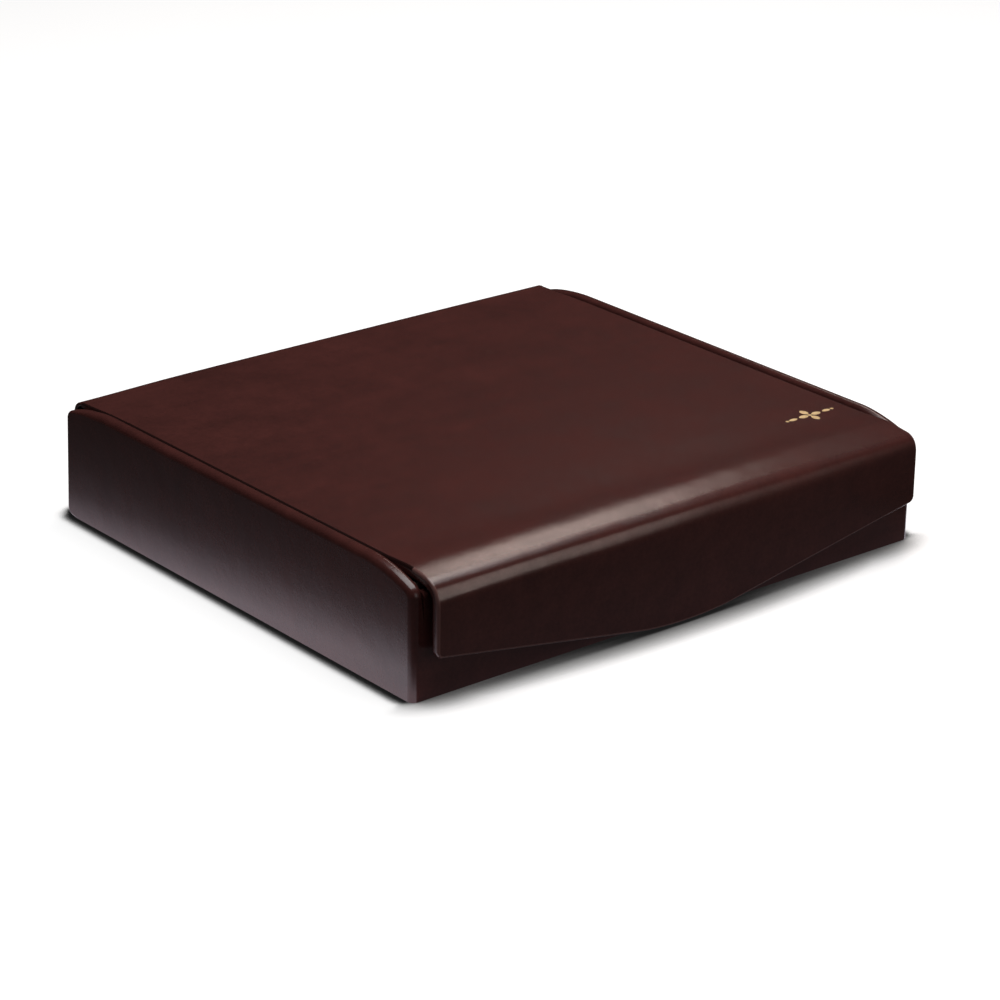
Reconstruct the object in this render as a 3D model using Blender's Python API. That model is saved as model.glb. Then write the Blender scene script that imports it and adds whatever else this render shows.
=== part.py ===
"""Low accessory box: a leather covered tray with raised cheeks, a lid strip that wraps over
the front as a pointed flap, and a suede lined inside with dividers, watch cushions and ring rolls.

X runs to the right, Y to the back and Z up, in metres. The origin is the middle of the underside.
"""

import math

import bmesh
import bpy
from mathutils import Vector

# Overall sizes of the tray
BOX_WIDTH = 0.240
BOX_DEPTH = 0.2164
RIM_HEIGHT = 0.0474
RIM_STAND = 0.0010

# Thicknesses of the sheet materials, and the glue line between two of them
LEATHER = 0.0012
WALL_BOARD = 0.0020
LID_BOARD = 0.0016
SUEDE = 0.0006
LINED_CARD = 0.0010
BASE_COVER = 0.0008
BASE_BOARD = 0.0020
GLUE_GAP = 0.0003

# Cheeks, the raised side walls
CHEEK_FRONT_FALL = 0.0060
CHEEK_FRONT_RUN = 0.0145
CHEEK_FRONT_RADIUS = 0.0600
CHEEK_NOSE_RADIUS = 0.0025
CHEEK_BACK_FALL = 0.0056
CHEEK_BACK_RUN = 0.0175
CHEEK_BACK_RADIUS = 0.0750
CHEEK_TAIL_RADIUS = 0.0040
CHEEK_TOE_RADIUS = 0.0015
CHEEK_HEEL_RADIUS = 0.0030
CHEEK_END_ROUNDING = 0.0016
FOOT_ROUNDING = 0.0011
WALL_TOP_ROUNDING = 0.0008

# Lid strip, which is spine, hinge, lid, bend and flap in one width
LID_SIDE_CLEARANCE = 0.0005
LID_SEAT_CLEARANCE = 0.0003
LID_EDGE_ROUNDING = 0.0009
SPINE_RADIUS = 0.0055
SPINE_FOOT = 0.0006
HINGE_BACK_LENGTH = 0.0040
HINGE_TOP_LENGTH = 0.0040
LID_BOARD_SETBACK = 0.0055
BEND_RADIUS = 0.0092
FLAP_STANDOFF = 0.0031
FLAP_CORNER_HEIGHT = 0.0184
FLAP_POINT_DEPTH = 0.0196
FLAP_POINT_RADIUS = 0.1300
FLAP_CORNER_RADIUS = 0.0030
FLAP_EDGE_ROUNDING = 0.0010

# Closure magnets
MAGNET_RADIUS = 0.0050
MAGNET_THICKNESS = 0.0014
MAGNET_SPACING = 0.0800
MAGNET_HEIGHT = 0.0205

# Compartments
DIVIDER = 0.0030
DIVIDER_TOP_ROUNDING = 0.0008
DIVIDER_LID_CLEARANCE = 0.0040
FIT_GAP = 0.0003
WATCH_CELL_WIDTH = 0.0660
RING_CELL_WIDTH = 0.0800
SMALL_CELL_LENGTH = 0.0600

# Watch cushions
CUSHION_SIDE_CLEARANCE = 0.0080
CUSHION_END_CLEARANCE = 0.0090
CUSHION_HEIGHT = 0.0265
CUSHION_FLAT = 0.0100
CUSHION_CHANNEL_DEPTH = 0.0012
CUSHION_CHANNEL_WIDTH = 0.0030

# Ring rolls
ROLL_CARD = 0.0012
ROLL_HEIGHT = 0.0160
ROLL_FLAT = 0.0075
ROLL_SPLIT = 0.0006
ROLL_END_CLEARANCE = 0.0006
ROLL_COUNT = 6

# How far a cutter runs past what it cuts
OVERRUN = 0.0010

# Fineness of curves
ARC_STEP = math.radians(9)
SHARP_ANGLE = math.radians(35)
ROUNDING_STEPS = 4
BEND_STEPS = 12
HINGE_STEPS = 6
MAGNET_SIDES = 32
MERGE = 0.000001
CUSHION_GRID = (14, 20)
ROLL_GRID = (16, 8)

# How a cushion's outline draws in between its corners, and how full its crown is
CUSHION_DRAW_SHARES = (0.035, 0.025)
CUSHION_FULLNESS_SHARES = (3.0, 4.0)
CUSHION_CHANNEL_SHARES = (-0.36, 0.36)
ROLL_DRAW_SHARES = (0.0, 0.03)
ROLL_FULLNESS_SHARES = (9.0, 2.0)

# Sizes that follow from the ones above
HALF_WIDTH = BOX_WIDTH / 2
HALF_DEPTH = BOX_DEPTH / 2
SKIN = LEATHER + GLUE_GAP
WALL = 2 * SKIN + WALL_BOARD
CHEEK_INSIDE = HALF_WIDTH - WALL
WALL_INSIDE = HALF_DEPTH - WALL
LID_TOP = RIM_HEIGHT - RIM_STAND
STRIP_THICKNESS = SKIN + LID_BOARD + GLUE_GAP + SUEDE
LID_UNDERSIDE = LID_TOP - STRIP_THICKNESS
STRIP_HALF_WIDTH = CHEEK_INSIDE - LID_SIDE_CLEARANCE
WALL_TOP = LID_UNDERSIDE - LID_SEAT_CLEARANCE
WALL_HALF_LENGTH = CHEEK_INSIDE - FIT_GAP
BASE_BOARD_FOOT = BASE_COVER + GLUE_GAP
BASE_BOARD_TOP = BASE_BOARD_FOOT + BASE_BOARD
WALL_FOOT = BASE_BOARD_TOP + GLUE_GAP
FLOOR = WALL_FOOT + LINED_CARD
FURNITURE_FOOT = FLOOR + FIT_GAP
DIVIDER_TOP = LID_UNDERSIDE - DIVIDER_LID_CLEARANCE

SPINE_BACK = HALF_DEPTH + GLUE_GAP + LEATHER
HINGE_CENTRE_Y = SPINE_BACK - SPINE_RADIUS
HINGE_CENTRE_Z = LID_TOP - SPINE_RADIUS
HINGE_LOW = HINGE_CENTRE_Z - HINGE_BACK_LENGTH
LID_BACK = HINGE_CENTRE_Y - HINGE_TOP_LENGTH
FLAP_FRONT = -HALF_DEPTH - FLAP_STANDOFF - STRIP_THICKNESS
BEND_CENTRE_Y = FLAP_FRONT + BEND_RADIUS
BEND_CENTRE_Z = LID_TOP - BEND_RADIUS
LID_FRONT = BEND_CENTRE_Y + GLUE_GAP
FLAP_TOP = BEND_CENTRE_Z - GLUE_GAP

# The front wall's round top stays inside the hollow of the bend
FRONT_WALL_MIDDLE = WALL / 2 - HALF_DEPTH - BEND_CENTRE_Y
FRONT_WALL_REACH = BEND_RADIUS - STRIP_THICKNESS - LID_SEAT_CLEARANCE - WALL / 2
FRONT_WALL_RISE = math.sqrt(max(FRONT_WALL_REACH ** 2 - FRONT_WALL_MIDDLE ** 2, 0))
FRONT_WALL_TOP = min(WALL_TOP, BEND_CENTRE_Z + FRONT_WALL_RISE + WALL / 2)

HALF_CORNER = math.sqrt(0.5)
HINGE_MIDDLE = (SPINE_RADIUS - LEATHER / 2) * HALF_CORNER
LID_PIVOT = Vector((0, HINGE_CENTRE_Y + HINGE_MIDDLE, HINGE_CENTRE_Z + HINGE_MIDDLE))
BEND_MIDDLE = (BEND_RADIUS - LEATHER / 2) * HALF_CORNER
FLAP_PIVOT = Vector((0, BEND_CENTRE_Y - BEND_MIDDLE, BEND_CENTRE_Z + BEND_MIDDLE))
ORIGIN = Vector((0, 0, 0))

CELL_HALF_WIDTH = CHEEK_INSIDE - FIT_GAP - LINED_CARD - FIT_GAP
CELL_HALF_DEPTH = WALL_INSIDE - FIT_GAP - LINED_CARD - FIT_GAP
WATCH_DIVIDER_X = -CELL_HALF_WIDTH + WATCH_CELL_WIDTH + DIVIDER / 2
RING_DIVIDER_X = WATCH_DIVIDER_X + DIVIDER + RING_CELL_WIDTH


def clear_scene():
    for thing in list(bpy.data.objects):
        bpy.data.objects.remove(thing, do_unlink=True)


def finish_material(name, colour, roughness, metallic=0.0):
    """One Principled material, as plain as the piece's finish."""
    made = bpy.data.materials.new(name)
    made.use_nodes = True
    shader = made.node_tree.nodes["Principled BSDF"]
    shader.inputs["Base Color"].default_value = (*colour, 1.0)
    shader.inputs["Roughness"].default_value = roughness
    shader.inputs["Metallic"].default_value = metallic
    made.diffuse_color = (*colour, 1.0)
    return made


FINISHES = {
    "smooth_leather": ((0.052, 0.018, 0.014), 0.38, 0.0),
    "suede": ((0.105, 0.060, 0.043), 0.92, 0.0),
    "base_suede": ((0.070, 0.042, 0.034), 0.95, 0.0),
    "grey_board": ((0.330, 0.315, 0.290), 0.90, 0.0),
    "soft_felt": ((0.180, 0.160, 0.140), 0.97, 0.0),
    "plated_magnet": ((0.620, 0.610, 0.590), 0.25, 1.0),
}


def piece(name, bm, finish, pivot=ORIGIN):
    """Makes a named object from a bmesh in place, with its origin at the pivot."""
    bmesh.ops.remove_doubles(bm, verts=bm.verts, dist=MERGE)
    bmesh.ops.recalc_face_normals(bm, faces=bm.faces)
    if bm.calc_volume(signed=True) < 0:
        bmesh.ops.reverse_faces(bm, faces=bm.faces)
    bmesh.ops.translate(bm, verts=bm.verts, vec=-pivot)
    mesh = bpy.data.meshes.new(name)
    bm.to_mesh(mesh)
    bm.free()
    mesh.materials.append(finish_material(name, *FINISHES[finish]))
    mesh.shade_smooth()
    mesh.set_sharp_from_angle(angle=SHARP_ANGLE)
    made = bpy.data.objects.new(name, mesh)
    made.location = pivot
    bpy.context.scene.collection.objects.link(made)
    return made


def cutter(name, bm, pivot=ORIGIN):
    """A helper solid that only Booleans use."""
    made = piece(name, bm, "grey_board", pivot)
    made.hide_render = True
    made.display_type = "WIRE"
    return made


def cut(target, tool):
    modifier = target.modifiers.new("cut_" + tool.name, "BOOLEAN")
    modifier.operation = "DIFFERENCE"
    modifier.solver = "EXACT"
    modifier.object = tool


def block(low, high):
    """A bmesh box between two corners."""
    bm = bmesh.new()
    bmesh.ops.create_cube(bm, size=1)
    low, high = Vector(low), Vector(high)
    bmesh.ops.scale(bm, verts=bm.verts, vec=high - low)
    bmesh.ops.translate(bm, verts=bm.verts, vec=(low + high) / 2)
    return bm


def block_with_round_top(low, high, radius):
    """A box whose upper edges are rounded."""
    bm = block(low, high)
    top = [e for e in bm.edges if all(v.co.z > (low[2] + high[2]) / 2 for v in e.verts)]
    bmesh.ops.bevel(
        bm, geom=top, offset=radius, segments=ROUNDING_STEPS, profile=0.5,
        affect="EDGES", material=-1,
    )
    return bm


def rounded_outline(corners, insets):
    """Points round a convex outline given anticlockwise as (u, v, radius) corners.

    insets holds how far each edge moves inwards, edge i running from corner i to corner i + 1.
    Every corner gives the same count of points for any inset, so two outlines can be joined.
    """
    count = len(corners)
    spots = [Vector(corner[:2]) for corner in corners]
    along = [(spots[(i + 1) % count] - spots[i]).normalized() for i in range(count)]
    inward = [Vector((-d.y, d.x)) for d in along]
    points = []
    for i in range(count):
        before, after = along[i - 1], along[i]
        turn = math.atan2(before.x * after.y - before.y * after.x, before.dot(after))
        start = spots[i] + inward[i - 1] * insets[i - 1]
        other = spots[i] + inward[i] * insets[i]
        reach = (other - start).dot(inward[i]) / before.dot(inward[i])
        corner = start + before * reach
        radius = max(corners[i][2] - max(insets[i - 1], insets[i]), 0)
        centre = corner - before * radius * math.tan(turn / 2) + inward[i - 1] * radius
        steps = max(1, math.ceil(turn / ARC_STEP)) if corners[i][2] > 0 else 0
        for k in range(steps + 1):
            angle = turn * k / steps if steps else 0
            out = -inward[i - 1]
            arm = Vector((
                out.x * math.cos(angle) - out.y * math.sin(angle),
                out.x * math.sin(angle) + out.y * math.cos(angle),
            ))
            points.append(centre + arm * radius)
    return points


def on_axis(axis, place, u, v):
    """The 3D point of outline point (u, v) on the plane at place across an axis."""
    return {"X": (place, u, v), "Y": (u, place, v), "Z": (u, v, place)}[axis]


def plate(axis, corners, stations):
    """A solid across an axis: each station is a place on the axis and the insets there."""
    bm = bmesh.new()
    rings = []
    for place, insets in stations:
        outline = rounded_outline(corners, insets)
        rings.append([bm.verts.new(on_axis(axis, place, *point)) for point in outline])
    for first, second in zip(rings, rings[1:]):
        for i in range(len(first)):
            j = (i + 1) % len(first)
            bm.faces.new((first[i], first[j], second[j], second[i]))
    bm.faces.new(rings[0])
    bm.faces.new(rings[-1])
    return bm


def flat_plate(axis, corners, start, end, inset=0.0):
    insets = [inset] * len(corners)
    return plate(axis, corners, [(start, insets), (end, insets)])


def rounded_stations(start, end, start_radii, end_radii):
    """Stations across a plate whose edges are quarter rounds of the given radii at each face."""
    way = 1 if end > start else -1
    reach = abs(end - start) / 2
    stations = []
    for radii, face, direction in ((start_radii, start, way), (end_radii, end, -way)):
        widest = min(max(radii), reach)
        side = []
        for k in range(ROUNDING_STEPS + 1 if widest > 0 else 1):
            depth = widest * (1 - math.cos(math.pi / 2 * k / ROUNDING_STEPS))
            insets = [
                r - math.sqrt(r * r - (r - depth) ** 2) if depth < r else 0.0 for r in radii
            ]
            side.append((face + direction * depth, insets))
        stations += side if direction == way else side[::-1]
    return stations


def strip_section(half_width, near, far, rounding=0.0):
    """Section of the strip as (x, depth) points, the depth measured from its outer face."""
    if not rounding:
        return [(-half_width, near), (half_width, near), (half_width, far), (-half_width, far)]
    corners = [(-half_width, near, rounding), (half_width, near, rounding)]
    corners += [(half_width, far, 0), (-half_width, far, 0)]
    return [tuple(point) for point in rounded_outline(corners, [0.0] * len(corners))]


def lipped_section(half_width, thickness, skin, rounding):
    """Section of a skin whose two side edges turn down over what it covers."""
    outer = strip_section(half_width, 0.0, thickness, rounding)
    inside = half_width - skin
    hollow = [(inside, thickness), (inside, skin), (-inside, skin), (-inside, thickness)]
    return outer[:-1] + hollow + outer[-1:]


def sweep(section, path):
    """Carries a section along a path of (y, z, outward y, outward z) stations."""
    bm = bmesh.new()
    rings = []
    for y, z, out_y, out_z in path:
        rings.append([bm.verts.new((x, y - out_y * depth, z - out_z * depth)) for x, depth in section])
    for first, second in zip(rings, rings[1:]):
        for i in range(len(first)):
            j = (i + 1) % len(first)
            bm.faces.new((first[i], first[j], second[j], second[i]))
    bm.faces.new(rings[0])
    bm.faces.new(rings[-1])
    return bm


def arc_path(centre_y, centre_z, radius, start_angle, end_angle, steps):
    """Stations round an arc, the angles measured from +Y towards +Z."""
    path = []
    for k in range(steps + 1):
        angle = start_angle + (end_angle - start_angle) * k / steps
        out_y, out_z = math.cos(angle), math.sin(angle)
        path.append((centre_y + radius * out_y, centre_z + radius * out_z, out_y, out_z))
    return path


def level_path(start_y, end_y):
    """Stations along the top of the lid."""
    return [(start_y, LID_TOP, 0.0, 1.0), (end_y, LID_TOP, 0.0, 1.0)]


def build_base():
    half_x, half_y = HALF_WIDTH - SKIN, HALF_DEPTH - SKIN
    piece("base_cover", block((-half_x, -half_y, 0), (half_x, half_y, BASE_COVER)), "base_suede")
    low = (-half_x, -half_y, BASE_BOARD_FOOT)
    piece("base_board", block(low, (half_x, half_y, BASE_BOARD_TOP)), "grey_board")
    reach_x, reach_y = HALF_WIDTH - LEATHER, HALF_DEPTH - LEATHER
    return cutter("base_recess", block((-reach_x, -reach_y, -OVERRUN), (reach_x, reach_y, WALL_FOOT)))


def cheek_corners():
    """Side view of a cheek: a long rim that falls away in a curve at the front and the back."""
    front, back = -HALF_DEPTH, HALF_DEPTH
    return [
        (front, 0.0, CHEEK_TOE_RADIUS),
        (back, 0.0, CHEEK_HEEL_RADIUS),
        (back, RIM_HEIGHT - CHEEK_BACK_FALL, CHEEK_TAIL_RADIUS),
        (back - CHEEK_BACK_RUN, RIM_HEIGHT, CHEEK_BACK_RADIUS),
        (front + CHEEK_FRONT_RUN, RIM_HEIGHT, CHEEK_FRONT_RADIUS),
        (front, RIM_HEIGHT - CHEEK_FRONT_FALL, CHEEK_NOSE_RADIUS),
    ]


def board_corners(corners, foot):
    """The same outline standing on the base board and without rounded corners at its foot."""
    low = [(u, foot, 0.0) for u, _, _ in corners[:2]]
    return low + corners[2:]


def build_cheek(side, name, recess):
    outer, inner = side * HALF_WIDTH, side * CHEEK_INSIDE
    corners = cheek_corners()
    half = WALL / 2
    end = CHEEK_END_ROUNDING
    outer_radii = [FOOT_ROUNDING, end, half, half, half, end]
    inner_radii = [0.0, 0.0, half, half, half, 0.0]
    skin = piece(
        name + "_cheek_leather",
        plate("X", corners, rounded_stations(outer, inner, outer_radii, inner_radii)),
        "smooth_leather",
    )
    pocket = [0.0] + [LEATHER] * (len(corners) - 1)
    hollow = plate("X", board_corners(corners, -OVERRUN), [
        (outer - side * LEATHER, pocket), (inner + side * LEATHER, pocket)
    ])
    cut(skin, cutter(name + "_cheek_pocket", hollow))
    cut(skin, recess)
    held = [0.0] + [SKIN] * (len(corners) - 1)
    board = plate("X", board_corners(corners, WALL_FOOT), [
        (outer - side * SKIN, held), (inner + side * SKIN, held)
    ])
    piece(name + "_cheek_board", board, "grey_board")


def upright_corners(half_length, foot, top, foot_radius=0.0):
    return [
        (-half_length, foot, foot_radius),
        (half_length, foot, foot_radius),
        (half_length, top, 0.0),
        (-half_length, top, 0.0),
    ]


def build_cross_wall(side, name, top, top_rounding, recess):
    """The front or back wall, which stands between the cheeks and carries the lid."""
    outer, inner = side * HALF_DEPTH, side * WALL_INSIDE
    corners = upright_corners(WALL_HALF_LENGTH, 0.0, top)
    outer_radii = [FOOT_ROUNDING, 0.0, top_rounding, 0.0]
    inner_radii = [0.0, 0.0, WALL_TOP_ROUNDING, 0.0]
    skin = piece(
        name + "_wall_leather",
        plate("Y", corners, rounded_stations(outer, inner, outer_radii, inner_radii)),
        "smooth_leather",
    )
    hollow = upright_corners(WALL_HALF_LENGTH - LEATHER, -OVERRUN, top - LEATHER)
    hollow_plate = flat_plate("Y", hollow, outer - side * LEATHER, inner + side * LEATHER)
    cut(skin, cutter(name + "_wall_pocket", hollow_plate))
    cut(skin, recess)
    core = upright_corners(WALL_HALF_LENGTH - SKIN, WALL_FOOT, top - SKIN)
    return piece(
        name + "_wall_board",
        flat_plate("Y", core, outer - side * SKIN, inner + side * SKIN),
        "grey_board",
    )


def disc(centre, radius, thickness):
    """A short round solid with its axis along Y."""
    bm = bmesh.new()
    bmesh.ops.create_cone(
        bm, cap_ends=True, segments=MAGNET_SIDES, radius1=radius, radius2=radius, depth=thickness
    )
    for vert in bm.verts:
        vert.co = Vector((vert.co.x, vert.co.z, vert.co.y))
    bmesh.ops.translate(bm, verts=bm.verts, vec=centre)
    return bm


def build_magnets(board, board_y, thickness, name, pivot=ORIGIN):
    """A pair of disc magnets let into round holes in a board."""
    for side, hand in ((-1, "left"), (1, "right")):
        centre = Vector((side * MAGNET_SPACING / 2, board_y, MAGNET_HEIGHT))
        hole = disc(centre, MAGNET_RADIUS + GLUE_GAP, thickness + 2 * OVERRUN)
        cut(board, cutter(name + "_magnet_hole_" + hand, hole, pivot))
        magnet = disc(centre, MAGNET_RADIUS, MAGNET_THICKNESS)
        piece(name + "_magnet_" + hand, magnet, "plated_magnet", pivot)


def build_tray():
    recess = build_base()
    build_cheek(-1, "left", recess)
    build_cheek(1, "right", recess)
    front_board = build_cross_wall(-1, "front", FRONT_WALL_TOP, WALL / 2, recess)
    build_cross_wall(1, "back", WALL_TOP, WALL_TOP_ROUNDING, recess)
    build_magnets(front_board, -HALF_DEPTH + WALL / 2, WALL_BOARD, "wall")


def build_spine_and_hinge():
    """The leather glued down the back, and the flexible part over the back edge."""
    section = strip_section(STRIP_HALF_WIDTH, 0.0, LEATHER)
    down_back = [(SPINE_BACK, HINGE_LOW - GLUE_GAP, 1.0, 0.0), (SPINE_BACK, SPINE_FOOT, 1.0, 0.0)]
    piece("spine_leather", sweep(section, down_back), "smooth_leather")
    path = [(LID_BACK + GLUE_GAP, LID_TOP, 0.0, 1.0)]
    path += arc_path(HINGE_CENTRE_Y, HINGE_CENTRE_Z, SPINE_RADIUS, math.pi / 2, 0.0, HINGE_STEPS)
    path += [(SPINE_BACK, HINGE_LOW, 1.0, 0.0)]
    piece("hinge_leather", sweep(section, path), "smooth_leather", LID_PIVOT)


def build_lid():
    covered = STRIP_HALF_WIDTH - SKIN
    skin = lipped_section(STRIP_HALF_WIDTH, STRIP_THICKNESS, LEATHER, LID_EDGE_ROUNDING)
    piece("lid_leather", sweep(skin, level_path(LID_BACK, LID_FRONT)), "smooth_leather", LID_PIVOT)
    board_back = SPINE_BACK - LID_BOARD_SETBACK
    board = strip_section(covered, SKIN, SKIN + LID_BOARD)
    piece("lid_board", sweep(board, level_path(board_back, LID_FRONT)), "grey_board", LID_PIVOT)
    lining = strip_section(covered, STRIP_THICKNESS - SUEDE, STRIP_THICKNESS)
    piece("lid_lining", sweep(lining, level_path(board_back, LID_FRONT)), "suede", LID_PIVOT)


def build_bend():
    """The padded leather bend that joins the lid to the flap."""
    path = arc_path(BEND_CENTRE_Y, BEND_CENTRE_Z, BEND_RADIUS, math.pi / 2, math.pi, BEND_STEPS)
    covered = STRIP_HALF_WIDTH - SKIN
    skin = lipped_section(STRIP_HALF_WIDTH, STRIP_THICKNESS, LEATHER, LID_EDGE_ROUNDING)
    piece("bend_leather", sweep(skin, path), "smooth_leather", LID_PIVOT)
    felt = strip_section(covered, SKIN, SKIN + LID_BOARD)
    piece("bend_padding", sweep(felt, path), "soft_felt", LID_PIVOT)
    lining = strip_section(covered, STRIP_THICKNESS - SUEDE, STRIP_THICKNESS)
    piece("bend_lining", sweep(lining, path), "suede", LID_PIVOT)


def flap_corners(top):
    """Front view of the flap: two short sides and a wide shallow point."""
    return [
        (0.0, FLAP_CORNER_HEIGHT - FLAP_POINT_DEPTH, FLAP_POINT_RADIUS),
        (STRIP_HALF_WIDTH, FLAP_CORNER_HEIGHT, FLAP_CORNER_RADIUS),
        (STRIP_HALF_WIDTH, top, 0.0),
        (-STRIP_HALF_WIDTH, top, 0.0),
        (-STRIP_HALF_WIDTH, FLAP_CORNER_HEIGHT, FLAP_CORNER_RADIUS),
    ]


def build_flap():
    back = FLAP_FRONT + STRIP_THICKNESS
    radii = [FLAP_EDGE_ROUNDING, FLAP_EDGE_ROUNDING, 0.0, FLAP_EDGE_ROUNDING, FLAP_EDGE_ROUNDING]
    stations = rounded_stations(FLAP_FRONT, back, radii, radii)
    body = plate("Y", flap_corners(FLAP_TOP), stations)
    skin = piece("flap_leather", body, "smooth_leather", FLAP_PIVOT)
    open_top = flap_corners(FLAP_TOP + OVERRUN + LEATHER)
    hollow = flat_plate("Y", open_top, FLAP_FRONT + LEATHER, back + OVERRUN, LEATHER)
    cut(skin, cutter("flap_pocket", hollow, FLAP_PIVOT))
    held = [SKIN, SKIN, 0.0, SKIN, SKIN]
    board_front, board_back = FLAP_FRONT + SKIN, FLAP_FRONT + SKIN + LID_BOARD
    core = plate("Y", flap_corners(FLAP_TOP), [(board_front, held), (board_back, held)])
    board = piece("flap_board", core, "grey_board", FLAP_PIVOT)
    build_magnets(board, (board_front + board_back) / 2, LID_BOARD, "flap", FLAP_PIVOT)
    lining = plate("Y", flap_corners(FLAP_TOP), [(back - SUEDE, held), (back, held)])
    piece("flap_lining", lining, "suede", FLAP_PIVOT)


def build_linings():
    half_x, half_y = CHEEK_INSIDE - FIT_GAP, WALL_INSIDE - FIT_GAP
    top = FRONT_WALL_TOP - FIT_GAP
    piece("floor_lining", block((-half_x, -half_y, WALL_FOOT), (half_x, half_y, FLOOR)), "suede")
    for side, name in ((-1, "left"), (1, "right")):
        near, far = sorted((side * half_x, side * (half_x - LINED_CARD)))
        low, high = (near, -half_y, FURNITURE_FOOT), (far, half_y, top)
        piece(name + "_wall_lining", block(low, high), "suede")
    for side, name in ((-1, "front"), (1, "back")):
        near, far = sorted((side * half_y, side * (half_y - LINED_CARD)))
        low = (-CELL_HALF_WIDTH, near, FURNITURE_FOOT)
        piece(name + "_wall_lining", block(low, (CELL_HALF_WIDTH, far, top)), "suede")


def divider(name, low_x, high_x, low_y, high_y):
    low, high = (low_x, low_y, FURNITURE_FOOT), (high_x, high_y, DIVIDER_TOP)
    piece(name, block_with_round_top(low, high, DIVIDER_TOP_ROUNDING), "suede")


def cross_divider(name, low_x, high_x, middle_y):
    half = DIVIDER / 2
    divider(name, low_x + FIT_GAP, high_x - FIT_GAP, middle_y - half, middle_y + half)


def build_dividers():
    half = DIVIDER / 2
    for name, x in (("watch_long_divider", WATCH_DIVIDER_X), ("ring_long_divider", RING_DIVIDER_X)):
        divider(name, x - half, x + half, -CELL_HALF_DEPTH, CELL_HALF_DEPTH)
    cross_divider("watch_cross_divider", -CELL_HALF_WIDTH, WATCH_DIVIDER_X - half, 0.0)
    cross_divider("ring_cross_divider", WATCH_DIVIDER_X + half, RING_DIVIDER_X - half, 0.0)
    small_y = CELL_HALF_DEPTH - SMALL_CELL_LENGTH - half
    cross_divider("small_cross_divider", RING_DIVIDER_X + half, CELL_HALF_WIDTH, small_y)


def padded(grid, half_x, half_y, height, flat, draws, fullness, grooves=()):
    """A stuffed form on the plane z = 0: crowned above its seam, flattened where it rests.

    draws says how far the sides pull in between the corners, grooves gives sewn channels
    across it as (middle, half width, depth), with the middle along Y.
    """
    bm = bmesh.new()
    bmesh.ops.create_grid(bm, x_segments=grid[0], y_segments=grid[1], size=1)
    lower = bmesh.ops.duplicate(bm, geom=bm.verts[:] + bm.edges[:] + bm.faces[:])["geom"]
    lower_verts = {item for item in lower if isinstance(item, bmesh.types.BMVert)}
    for vert in bm.verts:
        u, v = math.sin(vert.co.x * math.pi / 2), math.sin(vert.co.y * math.pi / 2)
        full = max(0.0, 1 - abs(u) ** fullness[0]) * max(0.0, 1 - abs(v) ** fullness[1])
        rise = math.sqrt(full)
        x = half_x * u * (1 - draws[0] * (1 - v * v))
        y = half_y * v * (1 - draws[1] * (1 - u * u))
        if vert in lower_verts:
            z = flat - min(flat, flat * rise * 2)
        else:
            z = flat + (height - flat) * rise
            for middle, half_width, depth in grooves:
                away = abs(y - middle) / half_width
                z -= depth * rise * max(0.0, 1 - away * away)
        vert.co = Vector((x, y, z))
    return bm


def place(bm, x, y, z):
    bmesh.ops.translate(bm, verts=bm.verts, vec=Vector((x, y, z)))
    return bm


def build_watch_cushions():
    cell_length = CELL_HALF_DEPTH - DIVIDER / 2
    half_x = WATCH_CELL_WIDTH / 2 - CUSHION_SIDE_CLEARANCE
    half_y = cell_length / 2 - CUSHION_END_CLEARANCE
    centre_x = -CELL_HALF_WIDTH + WATCH_CELL_WIDTH / 2
    grooves = [
        (share * half_y, CUSHION_CHANNEL_WIDTH, CUSHION_CHANNEL_DEPTH)
        for share in CUSHION_CHANNEL_SHARES
    ]
    for side, name in ((-1, "front"), (1, "back")):
        form = padded(
            CUSHION_GRID, half_x, half_y, CUSHION_HEIGHT, CUSHION_FLAT,
            CUSHION_DRAW_SHARES, CUSHION_FULLNESS_SHARES, grooves,
        )
        centre_y = side * (DIVIDER / 2 + cell_length / 2)
        piece("watch_cushion_" + name, place(form, centre_x, centre_y, FURNITURE_FOOT), "suede")


def build_ring_rolls():
    """A card with a row of stuffed rolls, in the front half of the middle column."""
    cell_length = CELL_HALF_DEPTH - DIVIDER / 2
    centre_x = (WATCH_DIVIDER_X + RING_DIVIDER_X) / 2
    half_x = RING_CELL_WIDTH / 2 - FIT_GAP
    low_y = -CELL_HALF_DEPTH + FIT_GAP
    high_y = -DIVIDER / 2 - FIT_GAP
    low = (centre_x - half_x, low_y, FURNITURE_FOOT)
    high = (centre_x + half_x, high_y, FURNITURE_FOOT + ROLL_CARD)
    piece("ring_roll_card", block(low, high), "suede")
    pitch = (high_y - low_y) / ROLL_COUNT
    foot = FURNITURE_FOOT + ROLL_CARD + FIT_GAP
    for k in range(ROLL_COUNT):
        form = padded(
            ROLL_GRID, half_x - ROLL_END_CLEARANCE, (pitch - ROLL_SPLIT) / 2, ROLL_HEIGHT, ROLL_FLAT,
            ROLL_DRAW_SHARES, ROLL_FULLNESS_SHARES,
        )
        centre_y = low_y + pitch * (k + 0.5)
        piece(f"ring_roll_{k + 1}", place(form, centre_x, centre_y, foot), "suede")


def main():
    clear_scene()
    build_tray()
    build_spine_and_hinge()
    build_lid()
    build_bend()
    build_flap()
    build_linings()
    build_dividers()
    build_watch_cushions()
    build_ring_rolls()


main()
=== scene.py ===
"""Looks of the accessory box: brown leather outside, suede, cushions and ring rolls inside."""

import math

import bmesh
import bpy
from bpy.props import FloatProperty, FloatVectorProperty, IntProperty, PointerProperty
from bpy.types import Operator, Panel, PropertyGroup
from mathutils import Matrix, Vector, noise


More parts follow.
